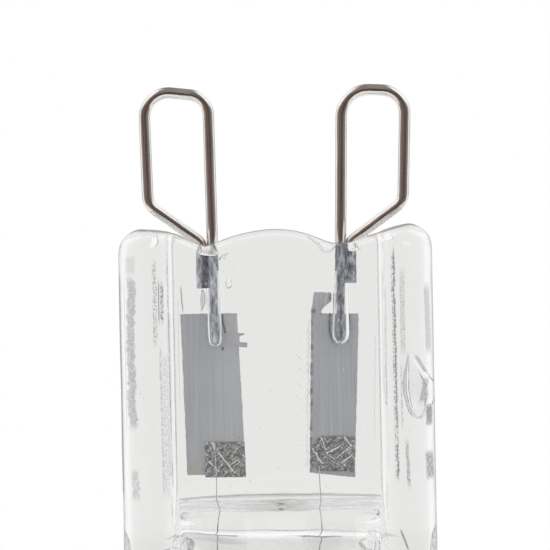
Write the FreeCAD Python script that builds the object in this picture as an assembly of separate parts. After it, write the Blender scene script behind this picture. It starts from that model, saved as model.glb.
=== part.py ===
"""Halogen capsule lamp with a press-sealed quartz envelope and two wire-loop contacts.

The loops point up along +Z, as the lamp hangs in its holder. The origin lies on the lamp's axis, in the
plane where the loops leave the glass. X runs across the two loops and -Y is the front. Lengths are in
millimetres and angles in degrees.
"""

import FreeCAD, Part
import math
import os

# Press seal: a web between two thick rails
SEAL_WIDTH = 14.46
SEAL_LENGTH = 12.1
WEB_THICKNESS = 2.6
RAIL_THICKNESS = 4.8
RAIL_CORNER_RADIUS = 1.3
RAIL_CREST_WIDTH = 0.3
RECESS_RUN = 1.2

# Upper end of the press seal, measured up from the plane where the loops leave the glass
CROWN_HEIGHT = 0.78
RAMP_LENGTH = 1.75
RAMP_HEIGHT = 0.7
RAMP_RADIUS = 1.5
RAIL_TOP_HEIGHT = 0.92
RAIL_TOP_RADIUS = 1.1

# Shoulder, capsule and exhaust tip
SHOULDER_SLOPE = 24
SHOULDER_RADIUS = 1.8
RUNOUT_DROP = 1.3
RUNOUT_LENGTH = 2.6
CAPSULE_DIAMETER = 13.8
CAPSULE_WALL = 1.1
CAPSULE_LENGTH = 15.4
DOME_SLOPE = 28
DOME_RADIUS = 3.4
DOME_WALL = 1.5
TIP_BASE_RADIUS = 1.5
TIP_END_RADIUS = 0.95
TIP_TAPER_LENGTH = 1.0
ROOF_DROP = 1.5
ROOF_THICKNESS = 1.4
ROOF_LENGTH = 2.6

# Wire loops: the root is where the straight leg leaves the glass, the lean tips the loop outwards
WIRE_DIAMETER = 0.52
LOOP_ROOT = {"left": 2.9, "right": 3.05}
LOOP_LEAN = {"left": 0.9, "right": 1.9}
LOOP_HEIGHT = 7.18
LOOP_WIDTH = 2.9
LOOP_TOP_RADIUS = 1.2
ELBOW_HEIGHT = 1.95
ELBOW_RADIUS = 0.9
FOOT_HEIGHT = 0.2
LEG_DEPTH = 4.4
STUB_DEPTH = 1.8
STUB_GAP = 0.03
CHANNEL_CLEARANCE = 0.1

# Sealing foils and the weld pieces on them, all lying behind the loops' plane
WELD_GAP = 0.01
STRIP_THICKNESS = 0.04
STRIP_HEIGHT = 0.6
STRIP_DROP = 0.15
STRIP_LENGTH = {"left": 1.42, "right": 0.86}
FOIL_THICKNESS = 0.05
FOIL_LENGTH = 7.45
FOIL_LEG_OVERLAP = 1.3
FOIL_WIDTH = {"left": 2.6, "right": 2.2}
FOIL_CENTRE = {"left": 3.04, "right": 2.7}
FOIL_LEAN = {"left": 1.45, "right": 2.6}
FLAP_WIDTH = 0.85
FLAP_HEIGHT = 0.9
TAB_THICKNESS = 0.06
TAB_WIDTH = {"left": 1.88, "right": 2.0}
TAB_HEIGHT = 1.65
TAB_CENTRE = {"left": 2.47, "right": 2.5}
TAB_LEAN = {"left": -1.1, "right": 1.1}
TAB_OVERHANG = {"left": 0.12, "right": -0.2}

# Filament: fine tails, two coiled legs, and a bare bend held by a hook
TAIL_DIAMETER = 0.08
TAIL_CENTRE = {"left": 2.9, "right": 1.9}
TAIL_TAB_OVERLAP = 1.55
TAIL_FREE_LENGTH = 2.6
COIL_DIAMETER = 0.8
COIL_LENGTH = 14.2
COIL_OVERLAP = 0.15
BEND_DIAMETER = 0.16
BEND_WIDTH = 1.3
BEND_DEPTH = 1.1
HOOK_DIAMETER = 0.24
HOOK_GAP = 0.02
HOOK_WIDTH = 0.9
HOOK_END_LENGTH = 0.8
HOOK_ANCHOR_DEPTH = 1.7

# Places worked out from the sizes above
SIDES = {"left": -1, "right": 1}
WIRE_RADIUS = WIRE_DIAMETER / 2
CAPSULE_RADIUS = CAPSULE_DIAMETER / 2
CAVITY_RADIUS = CAPSULE_RADIUS - CAPSULE_WALL
RAIL_CREST_X = SEAL_WIDTH / 2 - RAIL_CORNER_RADIUS
SHOULDER_TOP_Z = -SEAL_LENGTH
RUNOUT_TOP_Z = SHOULDER_TOP_Z - RUNOUT_DROP
RUNOUT_END_Z = RUNOUT_TOP_Z - RUNOUT_LENGTH
RUNOUT_END_X = math.sqrt(CAPSULE_RADIUS**2 - (RAIL_THICKNESS / 2)**2)
SHOULDER_FALL = (CAPSULE_RADIUS - WEB_THICKNESS / 2) * math.tan(math.radians(SHOULDER_SLOPE))
SHOULDER_CORNER_Z = SHOULDER_TOP_Z - SHOULDER_FALL
SHOULDER_END_Z = SHOULDER_CORNER_Z - SHOULDER_RADIUS * math.tan(math.radians(90 - SHOULDER_SLOPE) / 2)
DOME_CORNER_Z = SHOULDER_END_Z - CAPSULE_LENGTH
DOME_PITCH = math.tan(math.radians(DOME_SLOPE))
DOME_WALL_RISE = DOME_WALL / math.cos(math.radians(DOME_SLOPE))
CAVITY_POLE_Z = DOME_CORNER_Z - CAPSULE_RADIUS * DOME_PITCH + DOME_WALL_RISE
ROOF_Z = SHOULDER_TOP_Z - ROOF_DROP
STRIP_FRONT_Y = WIRE_RADIUS + WELD_GAP
FOIL_FRONT_Y = STRIP_FRONT_Y + STRIP_THICKNESS
TAB_FRONT_Y = FOIL_FRONT_Y - TAB_THICKNESS
TAIL_Y = TAB_FRONT_Y - TAIL_DIAMETER / 2 - WELD_GAP
FOIL_TOP_Z = -LEG_DEPTH + FOIL_LEG_OVERLAP
FOIL_END_Z = FOIL_TOP_Z - FOIL_LENGTH
COIL_TOP_Z = ROOF_Z - TAIL_FREE_LENGTH
COIL_END_Z = COIL_TOP_Z - COIL_LENGTH
BEND_END_Z = COIL_END_Z - BEND_DEPTH

ORIGIN = FreeCAD.Vector(0, 0, 0)
ACROSS = FreeCAD.Vector(1, 0, 0)
DEPTH = FreeCAD.Vector(0, 1, 0)
VERTICAL = FreeCAD.Vector(0, 0, 1)


# Curves, wires and sheets


def point(x, y, z):
    return FreeCAD.Vector(x, y, z)


def line(start, end):
    return Part.LineSegment(start, end).toShape()


def arc_about(centre, radius, first_angle, last_angle, across, up):
    """An arc about a centre, with its angles in radians from across towards up."""
    angles = (first_angle, (first_angle + last_angle) / 2, last_angle)
    places = [centre + across * (radius * math.cos(a)) + up * (radius * math.sin(a)) for a in angles]
    return Part.Arc(*places).toShape()


def rounded_path(corners, radii):
    """A wire of straight runs through the corners, with a tangent arc where a corner has a radius."""
    edges = []
    start = corners[0]
    for before, corner, after, radius in zip(corners, corners[1:], corners[2:], radii):
        back = (before - corner).normalize()
        ahead = (after - corner).normalize()
        half_angle = back.getAngle(ahead) / 2
        reach = radius / math.tan(half_angle)
        edges.append(line(start, corner + back * reach))
        start = corner + ahead * reach
        if radius:
            bisector = (back + ahead).normalize()
            inner = corner + bisector * (radius / math.sin(half_angle) - radius)
            edges.append(Part.Arc(corner + back * reach, inner, start).toShape())
    edges.append(line(start, corners[-1]))
    return Part.Wire(edges)


def wire_along(path, radius):
    """A round wire of that radius along a path, mitred where the path has sharp corners."""
    first = path.OrderedEdges[0]
    start = first.valueAt(first.FirstParameter)
    heading = first.tangentAt(first.FirstParameter)
    profile = Part.Wire(Part.makeCircle(radius, start, heading))
    mitred = 1
    return path.makePipeShell([profile], True, False, mitred)


def slab(edges, direction, thickness):
    """The solid between two copies of a closed outline, drawn thickness apart about its own plane."""
    face = Part.Face(Part.Wire(edges))
    face.translate(direction * (-thickness / 2))
    return face.extrude(direction * thickness)


def sheet(left, right, low, high, front_y, thickness):
    return Part.makeBox(right - left, thickness, high - low, point(left, front_y, low))


def leaned(shape, x, z, angle):
    """The shape turned about the depth axis through (x, z): a positive angle moves its lower end to -X."""
    turned = shape.copy()
    turned.rotate(point(x, 0, z), DEPTH, angle)
    return turned


# Quartz envelope


def recess_wall(crest, web):
    """The two tangent arcs of the recess wall, from the rail's crest to the web."""
    run = crest.x - web.x
    rise = crest.y - web.y
    radius = (run**2 + rise**2) / (4 * rise)
    turn = 2 * math.atan2(rise, run)
    square = math.pi / 2
    crest_arc = arc_about(crest - DEPTH * radius, radius, square, square + turn, ACROSS, DEPTH)
    web_arc = arc_about(web + DEPTH * radius, radius, turn - square, -square, ACROSS, DEPTH)
    return [crest_arc, web_arc]


def seal_section():
    """The press seal's section: sides, rounded corners, crests, recess walls and web."""
    half_width = SEAL_WIDTH / 2
    half_rail = RAIL_THICKNESS / 2
    half_web = WEB_THICKNESS / 2
    side_y = half_rail - RAIL_CORNER_RADIUS
    crest_end_x = RAIL_CREST_X - RAIL_CREST_WIDTH
    web_x = crest_end_x - RECESS_RUN
    corner = arc_about(point(RAIL_CREST_X, side_y, 0), RAIL_CORNER_RADIUS, 0, math.pi / 2, ACROSS, DEPTH)
    crest = line(point(RAIL_CREST_X, half_rail, 0), point(crest_end_x, half_rail, 0))
    wall = recess_wall(point(crest_end_x, half_rail, 0), point(web_x, half_web, 0))
    quarter = [corner, crest] + wall
    right_half = quarter + [edge.mirror(ORIGIN, DEPTH) for edge in quarter]
    right_half.append(line(point(half_width, -side_y, 0), point(half_width, side_y, 0)))
    edges = right_half + [edge.mirror(ORIGIN, ACROSS) for edge in right_half]
    for y in (half_web, -half_web):
        edges.append(line(point(-web_x, y, 0), point(web_x, y, 0)))
    return Part.Face(Part.Wire(Part.__sortEdges__(edges)))


def seal_front():
    """The press seal seen from the front: crown, rails, and sides that run out into the capsule."""
    dip_x = sum(LOOP_ROOT.values()) / len(LOOP_ROOT)
    half_width = SEAL_WIDTH / 2
    corners = [
        point(dip_x, 0, 0),
        point(dip_x + RAMP_LENGTH, 0, RAMP_HEIGHT),
        point(half_width, 0, RAIL_TOP_HEIGHT),
        point(half_width, 0, RUNOUT_TOP_Z),
        point(RUNOUT_END_X, 0, RUNOUT_END_Z),
    ]
    right_side = rounded_path(corners, [RAMP_RADIUS, RAIL_TOP_RADIUS, 0]).Edges
    left_side = [edge.mirror(ORIGIN, ACROSS) for edge in right_side]
    crown = Part.Arc(point(-dip_x, 0, 0), point(0, 0, CROWN_HEIGHT), point(dip_x, 0, 0)).toShape()
    foot = line(point(-RUNOUT_END_X, 0, RUNOUT_END_Z), point(RUNOUT_END_X, 0, RUNOUT_END_Z))
    return Part.__sortEdges__(right_side + left_side + [crown, foot])


def press_seal():
    """The press seal: its section drawn up to its full height, then trimmed to its front outline."""
    top = max(RAIL_TOP_HEIGHT, CROWN_HEIGHT)
    section = seal_section()
    section.translate(VERTICAL * RUNOUT_END_Z)
    blank = section.extrude(VERTICAL * (top - RUNOUT_END_Z))
    return blank.common(slab(seal_front(), DEPTH, 2 * RAIL_THICKNESS))


def shoulder():
    """The top of the round tube, pressed to two slopes that run up to the web."""
    half_web = WEB_THICKNESS / 2
    corners = [
        point(0, -CAPSULE_RADIUS, DOME_CORNER_Z),
        point(0, -CAPSULE_RADIUS, SHOULDER_CORNER_Z),
        point(0, -half_web, SHOULDER_TOP_Z),
        point(0, half_web, SHOULDER_TOP_Z),
        point(0, CAPSULE_RADIUS, SHOULDER_CORNER_Z),
        point(0, CAPSULE_RADIUS, DOME_CORNER_Z),
    ]
    side = rounded_path(corners, [SHOULDER_RADIUS, 0, 0, SHOULDER_RADIUS]).Edges
    side.append(line(corners[-1], corners[0]))
    tube = Part.makeCylinder(CAPSULE_RADIUS, SHOULDER_TOP_Z - SHOULDER_END_Z, point(0, 0, SHOULDER_END_Z))
    return tube.common(slab(side, ACROSS, 2 * CAPSULE_DIAMETER))


def revolved(edges):
    return Part.Face(Part.Wire(edges)).revolve(ORIGIN, VERTICAL, 360)


def capsule():
    """The round capsule, drawn in at its lower end to the tapered, sealed-off exhaust tip."""
    top = point(0, 0, SHOULDER_END_Z)
    rim = point(CAPSULE_RADIUS, 0, SHOULDER_END_Z)
    dome_corner = point(CAPSULE_RADIUS, 0, DOME_CORNER_Z)
    tip_base = point(TIP_BASE_RADIUS, 0, DOME_CORNER_Z - (CAPSULE_RADIUS - TIP_BASE_RADIUS) * DOME_PITCH)
    tip_end = point(TIP_END_RADIUS, 0, tip_base.z - TIP_TAPER_LENGTH)
    taper = math.atan2(TIP_BASE_RADIUS - TIP_END_RADIUS, TIP_TAPER_LENGTH)
    end_radius = TIP_END_RADIUS / math.cos(taper)
    end_centre = point(0, 0, tip_end.z + end_radius * math.sin(taper))
    wall = rounded_path([top, rim, dome_corner, tip_base, tip_end], [0, DOME_RADIUS, 0]).Edges
    tip = arc_about(end_centre, end_radius, -taper, -math.pi / 2, ACROSS, VERTICAL)
    return revolved(wall + [tip, line(end_centre - VERTICAL * end_radius, top)])


def cavity():
    """The gas space: a round bore with a drawn-in end, pinched to a flat roof under the press seal."""
    roof = point(0, 0, ROOF_Z)
    rim = point(CAVITY_RADIUS, 0, ROOF_Z)
    pole = point(0, 0, CAVITY_POLE_Z)
    dome_corner = point(CAVITY_RADIUS, 0, CAVITY_POLE_Z + CAVITY_RADIUS * DOME_PITCH)
    bore = revolved([line(roof, rim), line(rim, dome_corner), line(dome_corner, pole), line(pole, roof)])
    slope_end_z = ROOF_Z - ROOF_LENGTH
    corners = [
        point(0, -CAVITY_RADIUS, CAVITY_POLE_Z),
        point(0, -CAVITY_RADIUS, slope_end_z),
        point(0, -ROOF_THICKNESS / 2, ROOF_Z),
        point(0, ROOF_THICKNESS / 2, ROOF_Z),
        point(0, CAVITY_RADIUS, slope_end_z),
        point(0, CAVITY_RADIUS, CAVITY_POLE_Z),
    ]
    side = Part.makePolygon(corners + corners[:1]).Edges
    return bore.common(slab(side, ACROSS, 2 * CAPSULE_DIAMETER))


def quartz_envelope(buried):
    """The blown and pressed envelope, with room for everything that is sealed into it."""
    body = press_seal().fuse([shoulder(), capsule()]).removeSplitter()
    return body.cut([cavity()] + buried)


# Wire loops


def loop_corners():
    """The loop's corners beside its straight leg, which stands on x = 0: leg, top, elbow, foot, stub."""
    stub_x = WIRE_DIAMETER + STUB_GAP
    return [
        point(0, 0, -LEG_DEPTH),
        point(0, 0, LOOP_HEIGHT),
        point(LOOP_WIDTH, 0, LOOP_HEIGHT),
        point(LOOP_WIDTH, 0, ELBOW_HEIGHT),
        point(stub_x, 0, FOOT_HEIGHT),
        point(stub_x, 0, -STUB_DEPTH),
    ]


def placed_loop(shape, side):
    """A piece of a loop, mirrored for its side, leaned outwards and set on its root."""
    placed = shape if SIDES[side] > 0 else shape.mirror(ORIGIN, ACROSS)
    placed = leaned(placed, 0, 0, SIDES[side] * LOOP_LEAN[side])
    placed.translate(ACROSS * (SIDES[side] * LOOP_ROOT[side]))
    return placed


def loop_pin(side):
    path = rounded_path(loop_corners(), [LOOP_TOP_RADIUS, LOOP_TOP_RADIUS, ELBOW_RADIUS, 0])
    return placed_loop(wire_along(path, WIRE_RADIUS), side)


def loop_channel(side):
    """The gap in the quartz round a loop's leg, as far back as the foil, and its grip on the stub."""
    channel_radius = WIRE_RADIUS + CHANNEL_CLEARANCE
    end_z = -LEG_DEPTH - CHANNEL_CLEARANCE
    leg = Part.makeCylinder(channel_radius, LOOP_HEIGHT - end_z, point(0, 0, end_z))
    behind_foil = Part.makeBox(
        2 * channel_radius, channel_radius, FOIL_TOP_Z - end_z, point(-channel_radius, FOIL_FRONT_Y, end_z)
    )
    stub = wire_along(rounded_path(loop_corners()[3:], [0]), WIRE_RADIUS)
    return placed_loop(leg.cut(behind_foil).fuse(stub), side)


# Foils and weld pieces


def sealing_foil(side):
    """The thin foil that carries the current through the seal. The right one has a torn flap at its top."""
    centre = SIDES[side] * FOIL_CENTRE[side]
    left = centre - FOIL_WIDTH[side] / 2
    right = centre + FOIL_WIDTH[side] / 2
    foil = sheet(left, right, FOIL_END_Z, FOIL_TOP_Z, FOIL_FRONT_Y, FOIL_THICKNESS)
    if side == "right":
        flap_top = FOIL_TOP_Z + FLAP_HEIGHT
        flap = sheet(left, left + FLAP_WIDTH, FOIL_TOP_Z, flap_top, FOIL_FRONT_Y, FOIL_THICKNESS)
        foil = foil.fuse(flap).removeSplitter()
    return leaned(foil, centre, FOIL_TOP_Z, SIDES[side] * FOIL_LEAN[side])


def pin_weld_strip(side):
    """The ribbon between the end of a loop's leg and its foil, running to the right of the leg."""
    left = SIDES[side] * (LOOP_ROOT[side] - LEG_DEPTH * math.tan(math.radians(LOOP_LEAN[side])))
    low = -LEG_DEPTH - STRIP_DROP
    return sheet(left, left + STRIP_LENGTH[side], low, low + STRIP_HEIGHT, STRIP_FRONT_Y, STRIP_THICKNESS)


def tail_weld_tab(side):
    """The tab that welds a filament tail to the lower end of its foil."""
    centre = SIDES[side] * TAB_CENTRE[side]
    left = centre - TAB_WIDTH[side] / 2
    low = FOIL_END_Z - TAB_OVERHANG[side]
    high = low + TAB_HEIGHT
    tab = sheet(left, left + TAB_WIDTH[side], low, high, TAB_FRONT_Y, TAB_THICKNESS)
    return leaned(tab, centre, high, SIDES[side] * TAB_LEAN[side])


# Filament and its hook


def filament_tail(side):
    """A straight tail from the weld tab through the seal to the coil."""
    x = SIDES[side] * TAIL_CENTRE[side]
    low = COIL_TOP_Z - COIL_OVERLAP
    high = FOIL_END_Z - TAB_OVERHANG[side] + TAIL_TAB_OVERLAP
    return Part.makeCylinder(TAIL_DIAMETER / 2, high - low, point(x, TAIL_Y, low))


def coil_leg(side):
    """The outer form of one coiled leg."""
    top = point(SIDES[side] * TAIL_CENTRE[side], TAIL_Y, COIL_TOP_Z)
    end = point(SIDES[side] * BEND_WIDTH / 2, TAIL_Y, COIL_END_Z)
    return Part.makeCylinder(COIL_DIAMETER / 2, (end - top).Length, top, end - top)


def filament():
    """Both tails, both coiled legs and the bare bend between them, wound from one wire."""
    half_width = BEND_WIDTH / 2
    bend_top_z = COIL_END_Z + COIL_OVERLAP
    corners = [
        point(-half_width, TAIL_Y, bend_top_z),
        point(-half_width, TAIL_Y, BEND_END_Z),
        point(half_width, TAIL_Y, BEND_END_Z),
        point(half_width, TAIL_Y, bend_top_z),
    ]
    bend = wire_along(rounded_path(corners, [0, 0]), BEND_DIAMETER / 2)
    return bend.fuse([piece(side) for side in SIDES for piece in (filament_tail, coil_leg)])


def filament_hook():
    """A wire hook that stands in the exhaust tip and reaches over the filament's bend."""
    shank_y = TAIL_Y - HOOK_WIDTH / 2
    end_y = TAIL_Y + HOOK_WIDTH / 2
    over_z = BEND_END_Z + BEND_DIAMETER / 2 + HOOK_GAP + HOOK_DIAMETER / 2
    corners = [
        point(0, shank_y, CAVITY_POLE_Z - HOOK_ANCHOR_DEPTH),
        point(0, shank_y, over_z),
        point(0, end_y, over_z),
        point(0, end_y, over_z - HOOK_END_LENGTH),
    ]
    return wire_along(rounded_path(corners, [0, 0]), HOOK_DIAMETER / 2)


def main():
    nodes = {"filament": filament(), "filament_hook": filament_hook()}
    for side in SIDES:
        nodes["sealing_foil_" + side] = sealing_foil(side)
        nodes["pin_weld_strip_" + side] = pin_weld_strip(side)
        nodes["tail_weld_tab_" + side] = tail_weld_tab(side)
    channels = [loop_channel(side) for side in SIDES]
    nodes["quartz_envelope"] = quartz_envelope(channels + list(nodes.values()))
    for side in SIDES:
        nodes["loop_pin_" + side] = loop_pin(side)
    os.makedirs("parts", exist_ok=True)
    for name, shape in nodes.items():
        print(f"{name}: {len(shape.Solids)} solid, valid {shape.isValid()}, {shape.Volume:.3f} mm3")
        shape.exportStep(f"parts/{name}.step")


main()
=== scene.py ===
"""Halogen capsule lamp: its clear envelope, wire loops, foils, weld pieces and filament.

Everything is modelled in millimetres in the lamp's own frame and brought to metres when a piece is finished.
"""

import math
import random

import bmesh
import bpy
from mathutils import Euler, Matrix, Vector, noise


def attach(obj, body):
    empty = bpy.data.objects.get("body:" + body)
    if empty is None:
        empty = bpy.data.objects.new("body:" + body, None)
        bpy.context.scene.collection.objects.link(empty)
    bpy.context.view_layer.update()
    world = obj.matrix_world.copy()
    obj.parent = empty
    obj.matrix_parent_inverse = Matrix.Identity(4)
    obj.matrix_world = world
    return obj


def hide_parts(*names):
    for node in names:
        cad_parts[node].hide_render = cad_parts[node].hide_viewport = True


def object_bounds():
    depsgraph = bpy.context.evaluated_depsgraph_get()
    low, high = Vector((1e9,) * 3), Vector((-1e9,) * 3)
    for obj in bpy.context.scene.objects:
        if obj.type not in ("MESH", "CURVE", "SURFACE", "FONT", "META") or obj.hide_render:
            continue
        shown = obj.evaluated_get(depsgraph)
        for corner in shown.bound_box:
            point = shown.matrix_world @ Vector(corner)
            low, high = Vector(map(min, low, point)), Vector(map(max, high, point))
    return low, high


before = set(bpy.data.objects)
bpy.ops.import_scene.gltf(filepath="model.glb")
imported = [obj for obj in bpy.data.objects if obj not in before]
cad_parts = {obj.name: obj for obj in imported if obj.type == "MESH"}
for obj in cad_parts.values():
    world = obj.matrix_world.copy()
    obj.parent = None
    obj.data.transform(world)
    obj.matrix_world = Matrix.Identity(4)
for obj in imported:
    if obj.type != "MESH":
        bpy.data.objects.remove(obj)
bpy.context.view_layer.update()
bpy.context.scene.view_settings.view_transform = "Standard"

# Light is turned round many times inside thick clear glass before it comes out
LIGHT_TURNS_IN_GLASS = 32
bpy.context.scene.cycles.max_bounces = LIGHT_TURNS_IN_GLASS
bpy.context.scene.cycles.glossy_bounces = LIGHT_TURNS_IN_GLASS
bpy.context.scene.cycles.transmission_bounces = LIGHT_TURNS_IN_GLASS

MM = 0.001

# Envelope, close to the part's source. The rails run out lower and the hollow's roof is lower and leans
SEAL_HALF_WIDTH = 7.21
RAIL_HALF_THICKNESS = 2.4
RAIL_CORNER_RADIUS = 1.3
RAIL_CREST_END = 5.53
WEB_HALF_THICKNESS = 1.3
RECESS_WALL_SLOPE = math.radians(78)
RECESS_CREST_RADIUS = 0.6
RECESS_FOOT_RADIUS = 0.15
CAPSULE_RADIUS = 6.9
SHOULDER_TOP = -12.1
SHOULDER_SLOPE = math.radians(24)
RUNOUT_TOP = -15.2
RUNOUT_END = -17.8
DOME_CORNER = -31.16
DOME_SLOPE = math.radians(28)
DOME_RADIUS = 3.4
TIP_BASE_RADIUS = 1.5
TIP_END_RADIUS = 0.95
TIP_TAPER = 1.0
CAVITY_RADIUS = 5.8
CAVITY_ROOF = -14.6
CAVITY_ROOF_LEAN = -0.08
CAVITY_ROOF_HALF_WIDTH = 5.3
CAVITY_ROOF_HALF_DEPTH = 0.7
CAVITY_SLOPE_LENGTH = 2.6
CAVITY_POLE = -33.13

# Crown of the press seal: height above the pins' plane along its width, from left to right
CROWN = (
    (-6.3, 0.86), (-5.6, 0.81), (-4.65, 0.66), (-4.07, 0.42), (-3.45, 0.08), (-2.9, 0.1), (-2.39, 0.37),
    (-1.6, 0.58), (-0.8, 0.73), (0.0, 0.785), (0.7, 0.73), (1.22, 0.62), (1.77, 0.45), (2.31, 0.19),
    (2.75, 0.02), (3.43, 0.12), (3.9, 0.29), (4.67, 0.5), (5.5, 0.76), (6.1, 0.89), (6.3, 0.9),
)
FOOT_SOFTNESS = 0.42
RAIL_SIDE_ROUNDING = 1.05
RAIL_TOP_ROUNDING = 0.55
WEB_TOP_ROUNDING = 0.5

# Wires and sheets
WIRE_DIAMETER = 0.52
FOIL_FRONT = 0.31
FOIL_THICKNESS = 0.05
STRIP_FRONT = 0.27
STRIP_THICKNESS = 0.04
TAB_FRONT = 0.25
TAB_THICKNESS = 0.05
RELIEF_HEIGHT = 0.03
CREASE_HALF_WIDTH = 0.04
AIR_LINE_BEND = 0.2

# Hatching of the weld tabs
RIDGE_BIT_LENGTH = 0.13
RIDGE_HALF_WIDTH = 0.026
SCRATCH_HALF_WIDTH = 0.015
HATCH_WAYS = (48, -52)
HATCH_REACH = 0.26

# Filament
TAIL_DEPTH = 0.20
TAIL_DIAMETER = 0.048
TAIL_BEND = 0.12
COIL_RADIUS = 0.4
COIL_WIRE_RADIUS = 0.075
COIL_PITCH = 0.26
COIL_TOP = -16.2
COIL_END = -30.4
BARE_BEND_DIAMETER = 0.16
HOOK_DIAMETER = 0.24


# Working in edit mode


def deselect():
    if bpy.context.object and bpy.context.object.mode != "OBJECT":
        bpy.ops.object.mode_set(mode="OBJECT")
    bpy.ops.object.select_all(action="DESELECT")


def activate(piece):
    deselect()
    piece.select_set(True)
    bpy.context.view_layer.objects.active = piece


def edit(piece, mode="VERT"):
    activate(piece)
    bpy.ops.object.mode_set(mode="EDIT")
    bpy.ops.mesh.select_mode(type=mode)
    return bmesh.from_edit_mesh(piece.data)


def bake_place(piece):
    activate(piece)
    bpy.ops.object.transform_apply(location=True, rotation=True, scale=True)


def apply_modifier(piece, kind, **settings):
    activate(piece)
    modifier = piece.modifiers.new(kind.title(), kind)
    for name, value in settings.items():
        setattr(modifier, name, value)
    bpy.ops.object.modifier_apply(modifier=modifier.name)


def subdivide(piece, levels):
    apply_modifier(piece, "SUBSURF", levels=levels, render_levels=levels)


def join(pieces):
    activate(pieces[0])
    for piece in pieces:
        piece.select_set(True)
    bpy.ops.object.join()
    return bpy.context.object


def face_outwards(piece, inside=False):
    edit(piece)
    bpy.ops.mesh.select_all(action="SELECT")
    bpy.ops.mesh.normals_make_consistent(inside=inside)
    bpy.ops.object.mode_set(mode="OBJECT")


def finished(piece, name, finish, nodes, sharp_angle=40):
    """Brings a piece to metres, names and paints it, and sets it on the lamp in place of its CAD nodes."""
    activate(piece)
    piece.data.transform(Matrix.Scale(MM, 4))
    piece.name = piece.data.name = name
    piece.data.materials.clear()
    piece.data.materials.append(finish)
    bpy.ops.object.shade_smooth_by_angle(angle=math.radians(sharp_angle))
    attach(piece, "root")
    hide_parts(*nodes)
    return piece


# Wires: a circle, extruded along the straight runs and spun round the bends


def circle_across(start, heading, radius, sides):
    turn = Vector(heading).to_track_quat("Z", "Y").to_euler()
    deselect()
    bpy.ops.mesh.primitive_circle_add(vertices=sides, radius=radius, location=start, rotation=turn)
    piece = bpy.context.object
    bake_place(piece)
    return piece


def bent_wire(corners, radii, diameter, sides=24, bend_steps=12):
    """A round wire through the corners, bent at each inner one to its radius."""
    corners = [Vector(c) for c in corners]
    heading = (corners[1] - corners[0]).normalized()
    wire = circle_across(corners[0], heading, diameter / 2, sides)
    shape = edit(wire, "EDGE")
    around = shape.verts.layers.float_vector.new("around")
    for index, vertex in enumerate(shape.verts):
        turn = 2 * math.pi * index / sides
        vertex[around] = Vector((math.cos(turn), math.sin(turn), 0))
    bmesh.update_edit_mesh(wire.data)
    bpy.ops.mesh.select_all(action="SELECT")
    here = corners[0]
    for corner, after, radius in zip(corners[1:], corners[2:], radii):
        ahead = (after - corner).normalized()
        turn = heading.angle(ahead)
        reach = radius * math.tan(turn / 2)
        bend_start = corner - heading * reach
        bpy.ops.mesh.extrude_region_move(TRANSFORM_OT_translate={"value": bend_start - here})
        axis = heading.cross(ahead).normalized()
        centre = bend_start + axis.cross(heading) * radius
        steps = max(3, round(bend_steps * turn / (math.pi / 2)))
        bpy.ops.mesh.spin(steps=steps, angle=-turn, center=centre, axis=axis)
        here = corner + ahead * reach
        heading = ahead
    bpy.ops.mesh.extrude_region_move(TRANSFORM_OT_translate={"value": corners[-1] - here})
    bpy.ops.mesh.select_all(action="SELECT")
    bpy.ops.mesh.fill_holes(sides=0)
    bpy.ops.object.mode_set(mode="OBJECT")
    face_outwards(wire)
    return wire


# Skins: a circle, extruded ring by ring, each ring set to its section


def skin(rings):
    """A skin through rings of equally many points. The last ring closes to a pole."""
    deselect()
    bpy.ops.mesh.primitive_circle_add(vertices=len(rings[0]), radius=1)
    piece = bpy.context.object
    shape = edit(piece)
    column = shape.verts.layers.int.new("column")
    row = shape.verts.layers.int.new("row")
    shape.verts.ensure_lookup_table()
    for index, vertex in enumerate(shape.verts):
        vertex[column] = index
        vertex.co = rings[0][index]
    bmesh.update_edit_mesh(piece.data)
    bpy.ops.mesh.select_all(action="SELECT")
    for level, ring in enumerate(rings[1:], 1):
        bpy.ops.mesh.extrude_region_move(TRANSFORM_OT_translate={"value": (0, 0, 0)})
        shape = bmesh.from_edit_mesh(piece.data)
        column = shape.verts.layers.int["column"]
        row = shape.verts.layers.int["row"]
        for vertex in shape.verts:
            if vertex.select:
                vertex.co = ring[vertex[column]]
                vertex[row] = level
        bmesh.update_edit_mesh(piece.data)
    bpy.ops.mesh.merge(type="CENTER")
    bpy.ops.object.mode_set(mode="OBJECT")
    return piece


def bridge_top(piece, cuts):
    """Closes the first ring of a skin with strips that run from its front half to its back half."""
    shape = edit(piece, "EDGE")
    row = shape.verts.layers.int["row"]
    bpy.ops.mesh.select_all(action="DESELECT")
    for edge in shape.edges:
        first, second = edge.verts
        if first[row] == second[row] == 0 and first.co.y * second.co.y > 0:
            edge.select_set(True)
    bmesh.update_edit_mesh(piece.data)
    bpy.ops.mesh.bridge_edge_loops(number_cuts=cuts, interpolation="LINEAR")
    bpy.ops.object.mode_set(mode="OBJECT")


def close_first_ring(piece):
    shape = edit(piece)
    row = shape.verts.layers.int["row"]
    for vertex in shape.verts:
        vertex.select_set(vertex[row] == 0)
    bmesh.update_edit_mesh(piece.data)
    bpy.ops.mesh.merge(type="CENTER")
    bpy.ops.object.mode_set(mode="OBJECT")


def blend(first, second, share):
    return first + (second - first) * share


def soft_ramp(value, softness=0.2):
    """A straight ramp from 0 to 1 with rounded ends."""

    def soft_floor(x):
        return x if x > softness else (0 if x < -softness else (x + softness) ** 2 / (4 * softness))

    return 1 - soft_floor(1 - soft_floor(value))


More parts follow.
